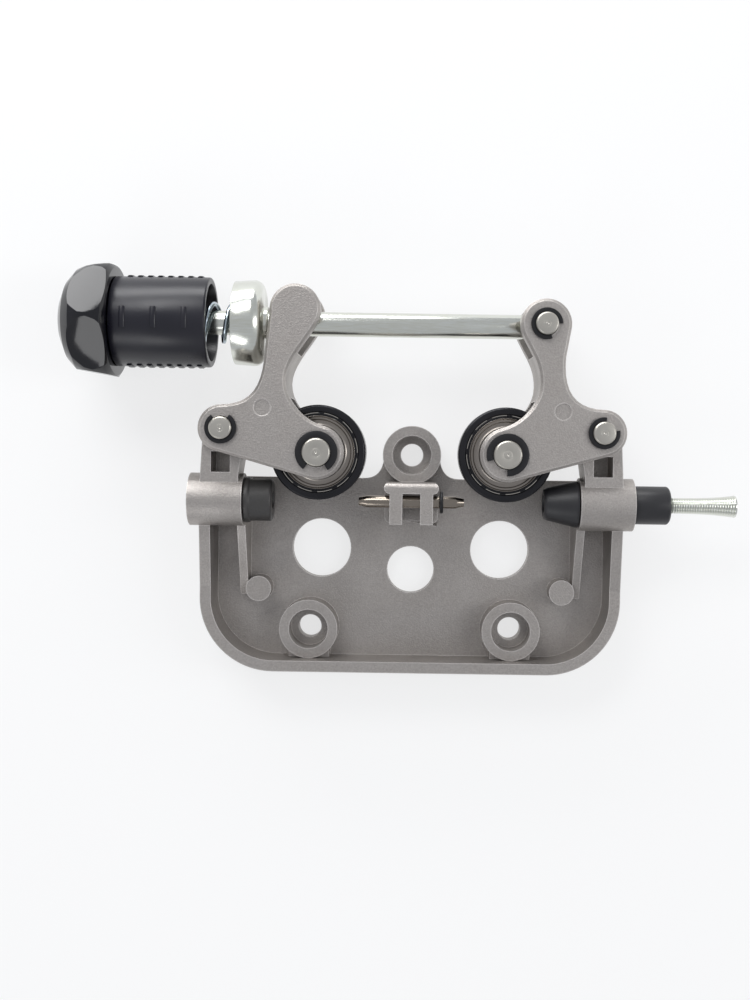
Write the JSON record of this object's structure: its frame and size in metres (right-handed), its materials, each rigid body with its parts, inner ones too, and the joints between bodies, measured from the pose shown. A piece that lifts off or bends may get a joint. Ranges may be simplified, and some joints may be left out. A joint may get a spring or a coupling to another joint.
{
  "type": "wire feeder",
  "caption": "Twin-roll wire feed bracket with two hinged pressure arms, bearing rollers and a sprung tension knob on a swing rod.",
  "frame": {"origin": "on the back face of the plate, half-way between the two lower bolt holes", "axes": "+X along the wire from inlet to outlet, +Y up the plate from the lower bolts to the upper one, +Z out of the wall that it bolts to"},
  "size_m": [0.2442, 0.1459, 0.0458],
  "materials": {
    "cast_aluminium": "grey die-cast aluminium, tumbled, fine satin grain",
    "zinc_steel": "bright zinc-plated steel",
    "ground_steel": "turned and ground steel",
    "black_steel": "blackened steel, satin",
    "knob_plastic": "moulded black plastic, semi-gloss",
    "bush_plastic": "moulded black plastic, satin",
    "brass": "turned brass"
  },
  "bodies": {
    "base": {"base_plate": "cast_aluminium", "left_pivot_pin": "ground_steel", "left_pivot_clip": "black_steel", "right_pivot_pin": "ground_steel", "right_pivot_clip": "black_steel", "inlet_bush": "cast_aluminium", "outlet_bush": "bush_plastic", "outlet_nozzle": "zinc_steel", "centre_guide_tube": "ground_steel", "guide_tube_stop": "black_steel"},
    "left_arm": {"left_arm": "cast_aluminium", "left_roller_pin": "ground_steel", "left_roller_clip": "black_steel", "left_roller_inner_ring": "ground_steel", "left_roller_ball_cage": "ground_steel", "left_roller_back_spacer": "ground_steel", "left_roller_front_spacer": "ground_steel"},
    "right_arm": {"right_arm": "cast_aluminium", "rod_pin": "ground_steel", "rod_clip": "black_steel", "right_roller_pin": "ground_steel", "right_roller_clip": "black_steel", "right_roller_inner_ring": "ground_steel", "right_roller_ball_cage": "ground_steel", "right_roller_back_spacer": "ground_steel", "right_roller_front_spacer": "ground_steel"},
    "left_roller": {"left_roller_ring": "black_steel"},
    "right_roller": {"right_roller_ring": "black_steel"},
    "rod": {"tension_rod": "zinc_steel", "cup_washer": "zinc_steel", "tension_spring": "zinc_steel"},
    "spring_seat": {"seat_washer": "zinc_steel"},
    "knob": {"threaded_insert": "brass", "knob_barrel": "knob_plastic", "knob_cap": "knob_plastic"}
  },
  "joints": [
    {"name": "left_arm_lift", "type": "hinge", "parent": "base", "child": "left_arm", "pos_m": [-0.0673, 0.0736, 0.024], "axis": [0, 0, 1], "range_deg": [0, 22]},
    {"name": "right_arm_lift", "type": "hinge", "parent": "base", "child": "right_arm", "pos_m": [0.0673, 0.0736, 0.024], "axis": [0, 0, -1], "range_deg": [0, 22]},
    {"name": "left_roller_spin", "type": "hinge", "parent": "left_arm", "child": "left_roller", "pos_m": [-0.0336, 0.0655, 0.024], "axis": [0, 0, 1], "continuous": true},
    {"name": "right_roller_spin", "type": "hinge", "parent": "right_arm", "child": "right_roller", "pos_m": [0.0336, 0.0655, 0.024], "axis": [0, 0, 1], "continuous": true},
    {"name": "rod_swing", "type": "hinge", "parent": "right_arm", "child": "rod", "pos_m": [0.0467, 0.1118, 0.024], "axis": [0, 0, -1], "range_deg": [0, 110]},
    {"name": "knob_travel", "type": "slide", "parent": "rod", "child": "spring_seat", "axis": [1, 0, 0], "range_m": [0, 0.005], "deforming": ["tension_spring"]},
    {"name": "knob_turn", "type": "hinge", "parent": "spring_seat", "child": "knob", "pos_m": [-0.1, 0.1118, 0.024], "axis": [1, 0, 0], "range_deg": [0, 1440]}
  ],
  "couplings": [
    {"joint": "left_arm_lift", "follows": "rod_swing", "ratio": 0.2},
    {"joint": "right_arm_lift", "follows": "rod_swing", "ratio": 0.2},
    {"joint": "knob_travel", "follows": "knob_turn", "m_per_rad": 0.00019894}
  ]
}
